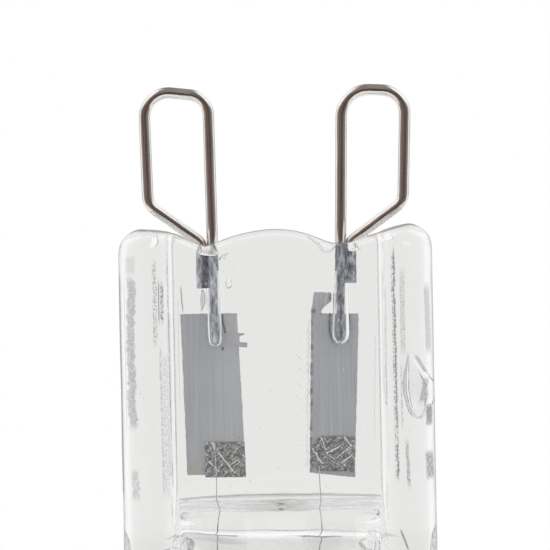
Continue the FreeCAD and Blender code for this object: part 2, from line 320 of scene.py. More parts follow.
def crown_height(x):
    """The crown's height at x, on a smooth curve through the measured places."""
    if x <= CROWN[0][0]:
        return CROWN[0][1]
    if x >= CROWN[-1][0]:
        return CROWN[-1][1]

    def slope(i):
        low, high = CROWN[max(i - 1, 0)], CROWN[min(i + 1, len(CROWN) - 1)]
        return (high[1] - low[1]) / (high[0] - low[0])

    k = next(i for i in range(len(CROWN) - 1) if CROWN[i + 1][0] >= x)
    (x0, z0), (x1, z1) = CROWN[k], CROWN[k + 1]
    span = x1 - x0
    t = (x - x0) / span
    rise = slope(k) * span
    fall = slope(k + 1) * span
    return (
        z0 * (2 * t**3 - 3 * t**2 + 1) + rise * (t**3 - 2 * t**2 + t)
        + z1 * (3 * t**2 - 2 * t**3) + fall * (t**3 - t**2)
    )


class Column:
    """One upright line of the envelope: its place on the press seal and on the round capsule."""

    def __init__(self, x, y, inwards, rounding, angle, start, end):
        self.seal = Vector((x, y))
        self.inwards = Vector(inwards)
        self.rounding = rounding
        self.round = Vector((math.cos(angle), math.sin(angle))) * CAPSULE_RADIUS
        self.start, self.end = start, end

    def on_crown(self, turn, side_x, side_y):
        """A place on the rounded top edge: turn 0 is the upright wall, a quarter turn the crest."""
        depth = self.rounding * (1 - math.cos(turn))
        place = self.seal + self.inwards * depth
        crest = self.seal + self.inwards * self.rounding
        z = crown_height(side_x * crest.x) - self.rounding * (1 - math.sin(turn))
        return Vector((side_x * place.x, side_y * place.y, z))

    def on_wall(self, z, side_x, side_y):
        share = soft_ramp((self.start - z) / (self.start - self.end), FOOT_SOFTNESS)
        place = self.seal.lerp(self.round, share)
        return Vector((side_x * place.x, side_y * place.y, z))

    def on_capsule(self, radius, z, side_x, side_y):
        place = self.round * (radius / CAPSULE_RADIUS)
        return Vector((side_x * place.x, side_y * place.y, z))


def envelope_columns():
    """The columns of one quarter, from the middle of the rail's side to the middle of the web."""
    columns = []
    side_y = RAIL_HALF_THICKNESS - RAIL_CORNER_RADIUS
    side_angle = math.radians(12)
    crest_x = SEAL_HALF_WIDTH - RAIL_CORNER_RADIUS
    fall = math.tan(SHOULDER_SLOPE)

    def wedge(height):
        return SHOULDER_TOP - (height - WEB_HALF_THICKNESS) * fall

    for share in (0.3, 0.9):
        y = side_y * share
        angle = side_angle * share
        columns.append(Column(
            SEAL_HALF_WIDTH, y, (-1, 0), RAIL_SIDE_ROUNDING, angle, RUNOUT_TOP, RUNOUT_END))
    crest_angle = math.acos(crest_x / SEAL_HALF_WIDTH)
    for share in (0.1, 0.25, 0.4, 0.55, 0.7, 0.85, 1.0):
        turn = share * math.pi / 2
        x = crest_x + RAIL_CORNER_RADIUS * math.cos(turn)
        y = side_y + RAIL_CORNER_RADIUS * math.sin(turn)
        angle = blend(side_angle, crest_angle, share)
        rounding = blend(RAIL_SIDE_ROUNDING, RAIL_TOP_ROUNDING, share)
        columns.append(Column(
            x, y, (-math.cos(turn), -math.sin(turn)), rounding, angle, RUNOUT_TOP, RUNOUT_END))
    rise = RAIL_HALF_THICKNESS - WEB_HALF_THICKNESS
    both_radii = RECESS_CREST_RADIUS + RECESS_FOOT_RADIUS
    straight = (rise - both_radii * (1 - math.cos(RECESS_WALL_SLOPE))) / math.sin(RECESS_WALL_SLOPE)
    run = both_radii * math.sin(RECESS_WALL_SLOPE) + straight * math.cos(RECESS_WALL_SLOPE)
    web_edge = RAIL_CREST_END - run
    wall = []
    for share in (0.0, 0.2, 0.4, 0.6, 0.8, 1.0):
        turn = share * RECESS_WALL_SLOPE
        wall.append((
            RAIL_CREST_END - RECESS_CREST_RADIUS * math.sin(turn),
            RAIL_HALF_THICKNESS - RECESS_CREST_RADIUS * (1 - math.cos(turn))))
    for share in (1.0, 0.67, 0.33, 0.0):
        turn = share * RECESS_WALL_SLOPE
        wall.append((
            web_edge + RECESS_FOOT_RADIUS * math.sin(turn),
            WEB_HALF_THICKNESS + RECESS_FOOT_RADIUS * (1 - math.cos(turn))))
    web_steps = 8
    web = [(web_edge * (1 - (k + 0.5) / web_steps), WEB_HALF_THICKNESS) for k in range(web_steps)]
    for x, y in wall + web:
        share = (y - WEB_HALF_THICKNESS) / rise
        rounding = blend(WEB_TOP_ROUNDING, RAIL_TOP_ROUNDING, share)
        angle = math.acos(x / SEAL_HALF_WIDTH)
        start = blend(wedge(y), RUNOUT_TOP, share**0.5)
        end = blend(wedge(CAPSULE_RADIUS * math.sin(angle)), RUNOUT_END, share**0.5)
        columns.append(Column(x, y, (0, -1), rounding, angle, start, end))
    return columns


def all_round(columns, place):
    """One ring: the quarter's places, mirrored into the other three quarters."""
    quarters = ((1, 1, 1), (-1, 1, -1), (-1, -1, 1), (1, -1, -1))
    return [
        place(column, side_x, side_y)
        for side_x, side_y, order in quarters for column in columns[::order]]


def outer_wall():
    """The envelope's outer skin, from the crown to the sealed exhaust tip."""
    columns = envelope_columns()
    rings = []
    for turn in (90, 70, 50, 32, 16, 0):
        angle = math.radians(turn)
        rings.append(all_round(columns, lambda c, sx, sy: c.on_crown(angle, sx, sy)))
    crown_foot = rings[-1]
    level_z = -2.2
    level = all_round(columns, lambda c, sx, sy: c.on_wall(level_z, sx, sy))
    for share in (0.33, 0.67):
        rings.append([a.lerp(b, share) for a, b in zip(crown_foot, level)])
    seal_steps, shoulder_steps = 12, 34
    fine_top = SHOULDER_TOP + 0.7
    fine_end = RUNOUT_END - 0.4
    levels = [blend(level_z, fine_top, k / seal_steps) for k in range(seal_steps)]
    levels += [blend(fine_top, fine_end, k / shoulder_steps) for k in range(shoulder_steps + 1)]
    for z in levels:
        rings.append(all_round(columns, lambda c, sx, sy: c.on_wall(z, sx, sy)))
    for radius, z in capsule_profile():
        rings.append(all_round(columns, lambda c, sx, sy: c.on_capsule(radius, z, sx, sy)))
    wall = skin(rings)
    bridge_top(wall, 3)
    face_outwards(wall)
    subdivide(wall, 1)
    return wall


def capsule_profile():
    """Radius and height down the round capsule, its drawn-in end and the tapered tip."""
    turn = math.pi / 2 - DOME_SLOPE
    reach = DOME_RADIUS * math.tan(turn / 2)
    arc_top = DOME_CORNER + reach
    side_top = RUNOUT_END - 0.8
    side_steps, arc_steps = 7, 8
    profile = [(CAPSULE_RADIUS, blend(side_top, arc_top, k / side_steps)) for k in range(side_steps + 1)]
    for k in range(1, arc_steps + 1):
        angle = turn * k / arc_steps
        radius = CAPSULE_RADIUS - DOME_RADIUS * (1 - math.cos(angle))
        profile.append((radius, arc_top - DOME_RADIUS * math.sin(angle)))
    pitch = math.tan(DOME_SLOPE)
    tip_base_z = DOME_CORNER - (CAPSULE_RADIUS - TIP_BASE_RADIUS) * pitch
    slope_radius, slope_z = profile[-1]
    for share in (0.3, 0.6, 0.85, 0.97):
        profile.append((blend(slope_radius, TIP_BASE_RADIUS, share), blend(slope_z, tip_base_z, share)))
    tip_end_z = tip_base_z - TIP_TAPER
    for share in (0.12, 0.5, 1.0):
        profile.append((blend(TIP_BASE_RADIUS, TIP_END_RADIUS, share), blend(tip_base_z, tip_end_z, share)))
    taper = math.atan2(TIP_BASE_RADIUS - TIP_END_RADIUS, TIP_TAPER)
    end_radius = TIP_END_RADIUS / math.cos(taper)
    centre_z = tip_end_z + end_radius * math.sin(taper)
    for turn_down in (45, 65, 80, 89):
        angle = math.radians(turn_down)
        profile.append((end_radius * math.cos(angle), centre_z - end_radius * math.sin(angle)))
    return profile


def gas_space():
    """The hollow of the capsule, pinched to a flat slot under the press seal."""
    sides = 64
    rings = []
    turns = [2 * math.pi * (k + 0.5) / sides for k in range(sides)]
    levels = [
        (0.0, 0.35), (0.04, 0.7), (0.12, 0.9), (0.25, 1.0),
        (0.45, 1.0), (0.65, 1.0), (0.85, 1.0), (1.0, 1.0)]
    for share, fullness in levels:
        half_width = blend(CAVITY_ROOF_HALF_WIDTH, CAVITY_RADIUS, share) * blend(0.94, 1, fullness)
        half_depth = blend(CAVITY_ROOF_HALF_DEPTH, CAVITY_RADIUS, soft_ramp(share)) * fullness
        squareness = blend(0.55, 1.0, share)
        z = CAVITY_ROOF - CAVITY_SLOPE_LENGTH * share
        rings.append([Vector((
            half_width * math.copysign(abs(math.cos(t)) ** squareness, math.cos(t)),
            half_depth * math.copysign(abs(math.sin(t)) ** squareness, math.sin(t)),
            z + CAVITY_ROOF_LEAN * half_width * math.cos(t) * (1 - share))) for t in turns])
    corner_z = CAVITY_POLE + CAVITY_RADIUS * math.tan(DOME_SLOPE)
    start_z = CAVITY_ROOF - CAVITY_SLOPE_LENGTH
    profile = [(CAVITY_RADIUS, blend(start_z, corner_z + 1.2, k / 6)) for k in range(1, 7)]
    profile += [(CAVITY_RADIUS * 0.985, corner_z + 0.45), (CAVITY_RADIUS * 0.93, corner_z - 0.2)]
    profile += [(CAVITY_RADIUS * s, blend(CAVITY_POLE, corner_z, s)) for s in (0.8, 0.6, 0.4, 0.2, 0.05)]
    for radius, z in profile:
        rings.append([Vector((radius * math.cos(t), radius * math.sin(t), z)) for t in turns])
    hollow = skin(rings)
    bridge_top(hollow, 1)
    face_outwards(hollow, inside=True)
    subdivide(hollow, 1)
    return hollow


def pin_channel(root_x, lean, stations):
    """The gap round a loop's leg. Stations give depth below the pins' plane and radius."""
    sides = 32
    rings = []
    for depth, radius in stations:
        centre_x = root_x + lean * depth
        rings.append([Vector((
            centre_x + radius * math.cos(2 * math.pi * k / sides),
            radius * math.sin(2 * math.pi * k / sides), -depth)) for k in range(sides)])
    channel = skin(rings)
    close_first_ring(channel)
    face_outwards(channel, inside=True)
    subdivide(channel, 1)
    return channel


def air_line(places, depth, diameter):
    """A hair-fine hollow in the quartz along the places, all at one depth."""
    corners = [(x, depth, z) for x, z in places]
    line = bent_wire(corners, [AIR_LINE_BEND] * (len(places) - 2), diameter, sides=10, bend_steps=8)
    face_outwards(line, inside=True)
    return line


def bubble(centre, half_sizes, pull=(0, 0), turn=0, segments=40, tip=0):
    """A gas bubble in the quartz, tipped back and turned in the picture.

    pull gives how much its top narrows and how far the top leans to the side.
    """
    narrowing, lean = pull
    deselect()
    bpy.ops.mesh.primitive_uv_sphere_add(segments=segments, ring_count=round(segments * 0.6), radius=1)
    piece = bpy.context.object
    shape = edit(piece)
    for vertex in shape.verts:
        high = max(0.0, vertex.co.z)
        narrow = 1 - narrowing * high**1.5
        vertex.co.x = vertex.co.x * narrow + lean * high**2
        vertex.co.y *= narrow
    bmesh.update_edit_mesh(piece.data)
    bpy.ops.object.mode_set(mode="OBJECT")
    piece.scale = half_sizes
    piece.rotation_euler = Euler((tip, turn, 0))
    piece.location = centre
    bake_place(piece)
    face_outwards(piece, inside=True)
    return piece


def ripple(piece, strength, size, shift):
    """Soft unevenness of fire-polished glass: a cloud pattern, shifted, pushes the skin in and out."""
    clouds = bpy.data.textures.new("ripple", "CLOUDS")
    clouds.noise_scale = size
    clouds.noise_depth = 1
    activate(piece)
    piece.data.transform(Matrix.Translation(shift))
    apply_modifier(
        piece, "DISPLACE", texture=clouds, strength=strength, mid_level=0.5, texture_coords="LOCAL")
    piece.data.transform(Matrix.Translation(-Vector(shift)))
    bpy.data.textures.remove(clouds)


# Sheets: a grid, set between four corners and given its thickness


def sheet_between(
        corners, across, down, front, thickness, edge_wander, seed,
        wave=0.0, right_edge=None, top_edge=None, relief=None):
    """A thin sheet between its upper left, upper right, lower left and lower right corners.

    right_edge gives how far the right edge stands back at each share of the height, and top_edge how far
    the top stands down at each share of the width. relief gives how far the front stands out at a place, as a
    share of RELIEF_HEIGHT, and is kept for the finish as well. The foils' finish paints shade into its
    hollows and a highlight onto what stands out.
    """
    draw = random.Random(seed)
    deselect()
    bpy.ops.mesh.primitive_grid_add(x_subdivisions=across, y_subdivisions=down, size=2)
    piece = bpy.context.object
    shape = edit(piece)
    raised = shape.verts.layers.float.new("raised")
    upper_left, upper_right, lower_left, lower_right = [Vector(c) for c in corners]
    left_wander = [draw.uniform(-1, 1) * edge_wander for _ in range(down + 1)]
    right_wander = [draw.uniform(-1, 1) * edge_wander for _ in range(down + 1)]
    top_wander = [draw.uniform(-1, 1) * edge_wander for _ in range(across + 1)]
    for vertex in shape.verts:
        u, v = (vertex.co.x + 1) / 2, (1 - vertex.co.y) / 2
        place = upper_left.lerp(upper_right, u).lerp(lower_left.lerp(lower_right, u), v)
        k, m = round(v * down), round(u * across)
        x = place.x + (left_wander[k] if m == 0 else right_wander[k] if m == across else 0)
        z = place.y + (top_wander[m] if k in (0, down) else 0)
        y = front + wave * (math.sin(7 * u + 3 * v) + math.sin(11 * v)) / 2
        if right_edge:
            x -= right_edge(v) * max(0.0, 2 * u - 1)
        if top_edge:
            z -= top_edge(u) * (1 - v)
        if relief:
            vertex[raised] = relief(x, z)
            y -= RELIEF_HEIGHT * vertex[raised]
        vertex.co = (x, y, z)
    bmesh.update_edit_mesh(piece.data)
    bpy.ops.object.mode_set(mode="OBJECT")
    apply_modifier(piece, "SOLIDIFY", thickness=thickness, offset=-1)
    face_outwards(piece)
    return piece


def away_from(segment, x, z):
    """The distance from a place to a segment."""
    (start_x, start_z), (end_x, end_z) = segment
    run_x, run_z = end_x - start_x, end_z - start_z
    share = ((x - start_x) * run_x + (z - start_z) * run_z) / (run_x**2 + run_z**2)
    share = max(0.0, min(1.0, share))
    return math.hypot(x - start_x - run_x * share, z - start_z - run_z * share)


def hatching(ridges, across, up, scratches, seed):
    """The relief of a hatched tab: its long ridges, and many short scratches along the hatch's two ways."""
    draw = random.Random(seed)
    segments = []
    for start, end in ridges:
        start, end = Vector(start), Vector(end)
        bits = max(2, round((end - start).length / RIDGE_BIT_LENGTH))
        for k in range(bits):
            shift = Vector((draw.uniform(-0.02, 0.02), draw.uniform(-0.02, 0.02)))
            bit = [tuple(start.lerp(end, share) + shift) for share in (k / bits, (k + 0.85) / bits)]
            segments.append((bit, RIDGE_HALF_WIDTH, draw.uniform(0.55, 1.0)))
    for _ in range(scratches):
        x, z = draw.uniform(*across), draw.uniform(*up)
        way = math.radians(draw.choice(HATCH_WAYS) + draw.uniform(-14, 14))
        reach = draw.uniform(0.02, 0.1)
        step_x, step_z = reach * math.cos(way), reach * math.sin(way)
        scratch = ((x - step_x, z - step_z), (x + step_x, z + step_z))
        segments.append((scratch, SCRATCH_HALF_WIDTH, draw.uniform(0.3, 0.85)))

    def relief(x, z):
        heights = [0.0]
        for segment, half_width, height in segments:
            start_x, start_z = segment[0]
            if abs(x - start_x) < HATCH_REACH and abs(z - start_z) < HATCH_REACH:
                heights.append(height * math.exp(-(away_from(segment, x, z) / half_width) ** 2))
        return max(heights)

    return relief


def arched_top(share):
    """How far the right tab's top edge stands down along its width: low at the left, with nibbled steps."""
    nibbles = 0.03 * noise.noise(Vector((14 * share, 2, 5)))
    left_end, right_end = 0.22, 0.75
    if share < left_end:
        return nibbles + 0.5 * (1 - share / left_end) ** 1.5
    return nibbles + (0.05 if share > right_end else 0.0)


def strip_ears(share):
    """How far the left strip's right end stands back: a thin ear at the top and a broad one at the bottom."""
    return 0.13 if share < 0.16 else 0.33 if share < 0.68 else 0.0


def torn_edge(share):
    """How far the flap's right edge stands back down its height: the lower corner is torn off."""
    tear_start, tear_length, tear_depth = 0.38, 0.4, 0.55
    return 0.0 if share < tear_start else tear_depth * min(1.0, (share - tear_start) / tear_length)


def flap_folds(x, z):
    """The flap's folds: a crease at its lower left, a dent at its upper right corner, a curl along its torn
    side and a seam. The foil's finish paints shade into the crease and dent and a highlight onto the curl and
    seam.
    """
    dent = math.exp(-((x - 1.72) / 0.12) ** 2 - ((z + 3.03) / 0.12) ** 2)
    corner = math.exp(-((x - 2.54) / 0.06) ** 2 - ((z + 2.42) / 0.13) ** 2)
    curl = math.exp(-((x - 2.36 - 0.25 * (z + 2.4)) / 0.05) ** 2)
    seam = math.exp(-((x - 1.84) / 0.03) ** 2) * (z > -2.6)
    return 0.7 * curl + 0.5 * seam - 1.3 * dent - 1.3 * corner


def crease(corners, x, z):
    """A sharp crease along the corners."""
    distance = min(away_from(segment, x, z) for segment in zip(corners, corners[1:]))
    return -1.5 * math.exp(-(distance / CREASE_HALF_WIDTH) ** 2)


def left_foil_creases(x, z):
    """The crease beside the left leg's lower end, which the foil's finish darkens with painted shade."""
    return crease([(-2.5, -3.1), (-2.46, -3.55), (-2.36, -3.95), (-2.43, -4.4), (-2.5, -4.75)], x, z)


def right_foil_creases(x, z):
    """The creases on both sides of the right leg's end, and the blotched fold along the left edge, all
    darkened with painted shade in the foil's finish.
    """
    edge_x = blend(1.62, 1.42, (-3.12 - z) / 7.4)
    blotches = 0.5 + noise.noise(Vector((7, 3, 3.5 * z)))
    fold = -1.2 * math.exp(-((x - edge_x - 0.05) / 0.05) ** 2) * blotches
    beside_leg = (
        crease([(2.49, -3.1), (2.45, -3.93), (2.52, -4.2), (2.64, -4.45)], x, z)
        + crease([(3.32, -3.1), (3.33, -3.95), (3.22, -4.35)], x, z))
    return fold + beside_leg


# Finishes

WHITE = (1.0, 1.0, 1.0)
CLEAR = (0.97, 0.975, 0.97)
QUARTZ_INDEX = 1.458

# Sockets of a Mix node that mixes colours
MIX_SHARE, MIX_FIRST, MIX_SECOND = 0, 6, 7
MIX_RESULT = 2


class Value:
    """A node's output that takes Python arithmetic. Every operator adds a Math node."""

    def __init__(self, finish, socket):
        self.finish, self.socket = finish, socket

    def math(self, operation, first, second=0.0):
        return self.finish.node("ShaderNodeMath", {"operation": operation}, {0: first, 1: second})

    def __add__(self, other):
        return self.math("ADD", self, other)

    def __sub__(self, other):
        return self.math("SUBTRACT", self, other)

    def __rsub__(self, other):
        return self.math("SUBTRACT", other, self)

    def __mul__(self, other):
        return self.math("MULTIPLY", self, other)

    def __abs__(self):
        return self.math("ABSOLUTE", self)

    __radd__ = __add__
    __rmul__ = __mul__


class Finish:
    """A node tree and the one way to add a node to it."""

    def __init__(self, tree):
        self.tree = tree
        tree.nodes.clear()

    def node(self, kind, settings=None, inputs=None, output=0):
        made = self.tree.nodes.new(kind)
        for name, value in (settings or {}).items():
            if name == "stops":
                self.set_stops(made.color_ramp, value)
            else:
                setattr(made, name, value)
        for name, value in (inputs or {}).items():
            if isinstance(value, Value):
                self.tree.links.new(value.socket, made.inputs[name])
            else:
                made.inputs[name].default_value = value
        return Value(self, made.outputs[output]) if made.outputs else None

    @staticmethod
    def set_stops(ramp, stops):
        while len(ramp.elements) > 1:
            ramp.elements.remove(ramp.elements[-1])
        for k, (place, colour) in enumerate(stops):
            stop = ramp.elements[0] if k == 0 else ramp.elements.new(place)
            stop.position, stop.color = place, (*colour, 1)

    def millimetres(self, scale=(1, 1, 1)):
        """Object coordinates in millimetres, stretched by scale."""
        place = self.node("ShaderNodeTexCoord", output="Object")
        size = [s / MM for s in scale]
        return self.node("ShaderNodeMapping", None, {"Vector": place, "Scale": size})

    def axis(self, vector, name):
        return self.node("ShaderNodeSeparateXYZ", None, {0: vector}, output=name)

    def noise(self, vector, scale=1.0, detail=2.0, roughness=0.5):
        return self.node(
            "ShaderNodeTexNoise", None,
            {"Vector": vector, "Scale": scale, "Detail": detail, "Roughness": roughness})

    def ramp(self, value, stops):
        return self.node("ShaderNodeValToRGB", {"stops": stops}, {0: value})

    def step(self, value, low, high):
        """0 below low, 1 above high, smooth between. With low above high it falls instead."""
        return self.node(
            "ShaderNodeMapRange", {"interpolation_type": "SMOOTHSTEP"},
            {"Value": value, "From Min": low, "From Max": high})

    def mix(self, share, first, second, way="MIX"):
        """A colour mixed from two, each a node's or a plain one."""
        first, second = [c if isinstance(c, Value) else (*c, 1) for c in (first, second)]
        return self.node(
            "ShaderNodeMix", {"data_type": "RGBA", "blend_type": way},
            {MIX_SHARE: share, MIX_FIRST: first, MIX_SECOND: second}, output=MIX_RESULT)

    def bump(self, height, distance):
        return self.node(
            "ShaderNodeBump", None, {"Height": height, "Distance": distance * MM, "Strength": 1.0})

    def shader(self, **inputs):
        names = {key.replace("_", " "): value for key, value in inputs.items()}
        return self.node("ShaderNodeBsdfPrincipled", None, names)

    def glass(self, colour, normal):
        return self.shader(
            Base_Color=colour, Roughness=0.0, IOR=QUARTZ_INDEX, Transmission_Weight=1.0, Normal=normal)

    def surface(self, **inputs):
        self.node("ShaderNodeOutputMaterial", None, {"Surface": self.shader(**inputs)})


def new_finish(name):
    material = bpy.data.materials.new(name)
    material.use_nodes = True
    return material, Finish(material.node_tree)


# Lines on the front of the quartz, partly scuffs and press lines on the rails and partly painted shade: the
# dark outer edge lines of the rails, the dark rim of the right rail's bubble and the soft shadows at the
# seal's foot. Each gives upper end, lower end, half width, wander, share of dots, depth
PRESS_MARKS_AND_PAINTED_SHADE = (
    ((-6.62, -0.2), (-6.66, -1.2), 0.24, 0.08, 0.2, 0.3),
    ((-6.66, -1.0), (-6.66, -8.4), 0.20, 0.30, 0.4, 0.7),
    ((-6.60, -9.9), (-6.57, -11.6), 0.17, 0.25, 0.5, 0.5),
    ((-6.93, -1.0), (-6.93, -8.6), 0.02, 0.02, 0.2, 0.35),
    # Painted shade: the dark line along the left rail's outer edge
    ((-7.16, -0.9), (-7.16, -11.5), 0.06, 0.0, 0.1, 0.8),
    ((-5.53, -0.3), (-5.53, -4.6), 0.10, 0.05, 0.95, 0.65),
    ((-5.35, -1.2), (-5.35, -3.6), 0.03, 0.02, 0.1, 0.9),
    ((-5.22, -1.3), (-5.2, -3.6), 0.08, 0.03, 0.8, 1.0),
    ((-5.33, -4.2), (-5.28, -11.4), 0.05, 0.05, 0.7, 0.5),
    ((-5.12, -4.6), (-5.10, -11.6), 0.14, 0.06, 0.8, 0.35),
    ((-4.95, -0.3), (-4.90, -8.9), 0.03, 0.03, 0.8, 0.75),
    ((-4.89, -9.6), (-4.88, -11.1), 0.03, 0.01, 0.2, 0.6),
    ((-4.50, -1.9), (-4.50, -7.4), 0.016, 0.01, 0.3, 0.4),
    ((-4.36, -1.6), (-4.27, -3.05), 0.03, 0.04, 0.1, 1.0),
    ((5.38, 0.1), (5.43, -8.4), 0.035, 0.09, 0.4, 1.0),
    ((5.42, -8.75), (5.43, -10.9), 0.035, 0.09, 0.4, 1.0),
    ((5.36, -0.2), (5.41, -10.9), 0.10, 0.06, 0.95, 0.7),
    ((5.77, -0.9), (5.75, -5.2), 0.12, 0.04, 0.55, 0.45),
    ((5.66, -5.2), (5.66, -8.6), 0.05, 0.04, 0.75, 0.5),
    ((5.85, -8.7), (5.92, -11.3), 0.08, 0.05, 0.6, 0.8),
    ((4.89, -0.9), (4.84, -7.0), 0.02, 0.02, 0.3, 0.45),
    ((5.01, -1.6), (4.97, -6.4), 0.05, 0.03, 0.4, 0.25),
    ((4.53, -3.8), (4.40, -9.4), 0.016, 0.03, 0.75, 0.45),
    ((6.88, -1.6), (6.94, -5.2), 0.13, 0.07, 0.25, 0.58),
    ((6.93, -7.2), (6.9, -8.4), 0.15, 0.05, 0.2, 1.0),
    ((6.88, -9.3), (6.92, -10.9), 0.19, 0.04, 0.4, 0.95),
    # Painted shade: the dark line along the right rail's outer edge
    ((7.17, -1.2), (7.17, -11.8), 0.04, 0.0, 0.1, 0.25),
    # Painted shade: the dark rim of the gas bubble in the right rail
    ((6.28, -4.95), (6.86, -5.95), 0.10, 0.03, 0.15, 0.6),
    ((6.86, -5.95), (6.52, -7.35), 0.13, 0.03, 0.15, 0.55),
    # Painted shade at the seal's foot: soft shadows and dark lines where the web and rails meet the capsule
    ((5.46, -12.88), (5.88, -14.07), 0.05, 0.03, 0.1, 1.0),
    ((4.6, -13.16), (5.2, -13.36), 0.4, 0.05, 0.3, 0.4),
    ((-3.7, -13.05), (-1.6, -13.4), 0.7, 0.05, 0.3, 0.3),
    ((-4.36, -12.94), (-5.28, -13.31), 0.14, 0.04, 0.4, 0.5),
    ((-4.62, -13.0), (-4.95, -13.42), 0.06, 0.02, 0.1, 0.45),
    ((-4.25, -12.98), (-4.5, -13.4), 0.05, 0.02, 0.1, 0.45),
    ((-4.32, -13.56), (-5.41, -13.77), 0.2, 0.05, 0.9, 0.8),
)


def press_mark_or_painted_shade(f, x, z, wander, dots, mark):
    """How strongly one line, a scuff or a line of painted shade, shows at a place."""
    (top_x, top), (end_x, end), half_width, swing, dotted, depth = mark
    middle = (z - top) * ((end_x - top_x) / (end - top)) + top_x + wander * (2 * swing)
    across = f.step(abs(x - middle), half_width * 1.25, half_width * 0.6)
    fade = min(0.6, (top - end) / 4)
    along = f.step(z, top, top - fade) * f.step(z, end, end + fade)
    return across * along * (1 - dotted * dots) * depth


def quartz_finish():
    """Clear quartz with soft ripples, dimpled at the crown and greyer below the seal, with painted shade
    round the left leg's gas pocket, and scuffs and lines of painted shade on its front.
    """
    material, f = new_finish("clear_quartz")
    place = f.millimetres()
    ripples = f.noise(place, scale=0.9, detail=1.0)
    dimples = f.noise(place, scale=2.6, detail=1.0)
    x, y, z = [f.axis(place, name) for name in "XYZ"]
    relief = ripples + dimples * f.step(z, -1.2, 0.2) * 0.35
    below_seal = f.step(z, -12.8, -13.8)
    body = f.mix(below_seal, CLEAR, (0.912, 0.914, 0.907))
    # Painted shade: the glass round the gas pocket beside the left leg's stub is greyed
    pocket_x, pocket_z = -3.42, -2.45
    beside_pocket = f.step(abs(x - pocket_x), 0.2, 0.14)
    pocket_painted_shade = beside_pocket * f.step(abs(z - pocket_z), 0.6, 0.5) * f.step(abs(y), 0.4, 0.3)
    clear = f.glass(f.mix(pocket_painted_shade, body, (0.64, 0.64, 0.65)), f.bump(relief, 0.03))
    wander = f.noise(f.millimetres(scale=(0.12, 0.12, 1)), scale=1.9, detail=5.0, roughness=0.6) - 0.5
    dots = f.step(f.noise(f.millimetres(scale=(1.3, 1.3, 1)), scale=9.0, detail=2.0), 0.40, 0.60)
    marks_and_painted_shade = 0.0
    for mark in PRESS_MARKS_AND_PAINTED_SHADE:
        marks_and_painted_shade = press_mark_or_painted_shade(f, x, z, wander, dots, mark) + marks_and_painted_shade
    # Their colour darkens the glass: grey scuffs, and painted shade along the rails' edges, round the bubble
    # and at the seal's foot
    colour = f.ramp(marks_and_painted_shade, [(0.0, CLEAR), (0.5, (0.46, 0.46, 0.48)), (1.0, (0.14, 0.13, 0.14))])
    marked = f.glass(colour, f.bump(relief + marks_and_painted_shade * dots * 0.25, 0.03))
    on_rails = f.step(abs(x), 4.15, 4.2) * f.step(z, -12.2, -11.9)
    at_foot = f.step(z, -11.9, -12.2) * f.step(z, -14.6, -14.3) * f.step(marks_and_painted_shade, 0.0, 0.1)
    front_for_marks_and_shade = f.step(y, -0.05, -0.3) * (on_rails + at_foot)
    f.node("ShaderNodeOutputMaterial", None, {
        "Surface": f.node("ShaderNodeMixShader", None, {0: front_for_marks_and_shade, 1: clear, 2: marked})})
    return material


def nickel_finish():
    material, f = new_finish("nickel_wire")
    place = f.millimetres()
    x, z = f.axis(place, "X"), f.axis(place, "Z")
    around = f.node("ShaderNodeAttribute", {"attribute_name": "around"}, output="Vector")
    drawn = f.node(
        "ShaderNodeTexNoise", {"noise_dimensions": "4D"},
        {"Vector": around, "W": 0.2 * z + 0.6 * x, "Scale": 2.4, "Detail": 4.0, "Roughness": 0.6})
    grain = f.noise(f.millimetres(), scale=16.0, detail=3.0)
    bright = f.ramp(drawn, [(0.3, (0.66, 0.60, 0.57)), (0.5, (0.95, 0.92, 0.89)), (0.66, (1.0, 0.99, 0.98))])
    blotches = f.noise(f.millimetres(scale=(2.2, 2.2, 1)), scale=2.2, detail=5.0, roughness=0.7)
    tarnish = f.ramp(blotches, [
        (0.36, (0.10, 0.097, 0.097)), (0.47, (0.36, 0.36, 0.385)), (0.56, (0.74, 0.78, 0.90)), (0.64, WHITE)])
    paler = f.mix(f.step(x, 0.5, -0.5) * 0.2, tarnish, (0.74, 0.76, 0.82))
    darker = f.mix(f.step(x, -0.5, 0.5) * 0.3, paler, (0.15, 0.15, 0.16))
    # Painted shade: the left stub is darkened down its middle; the blotches round it are tarnish
    stub_x = -3.27
    stub_painted_shade = f.step(abs(x - stub_x), 0.2, 0.05)
    tarnish_and_painted_shade = f.mix(stub_painted_shade * 0.75, darker, (0.13, 0.12, 0.125))
    sealed = f.step(z, 0.25, -0.15)
    colour = f.mix(sealed, bright, tarnish_and_painted_shade)
    f.surface(
        Base_Color=colour, Metallic=1.0 - 0.6 * sealed, Roughness=0.12 + 0.12 * grain + 0.26 * sealed,
        Normal=f.bump(0.9 * drawn + 0.1 * grain, 0.008),
    )
    return material


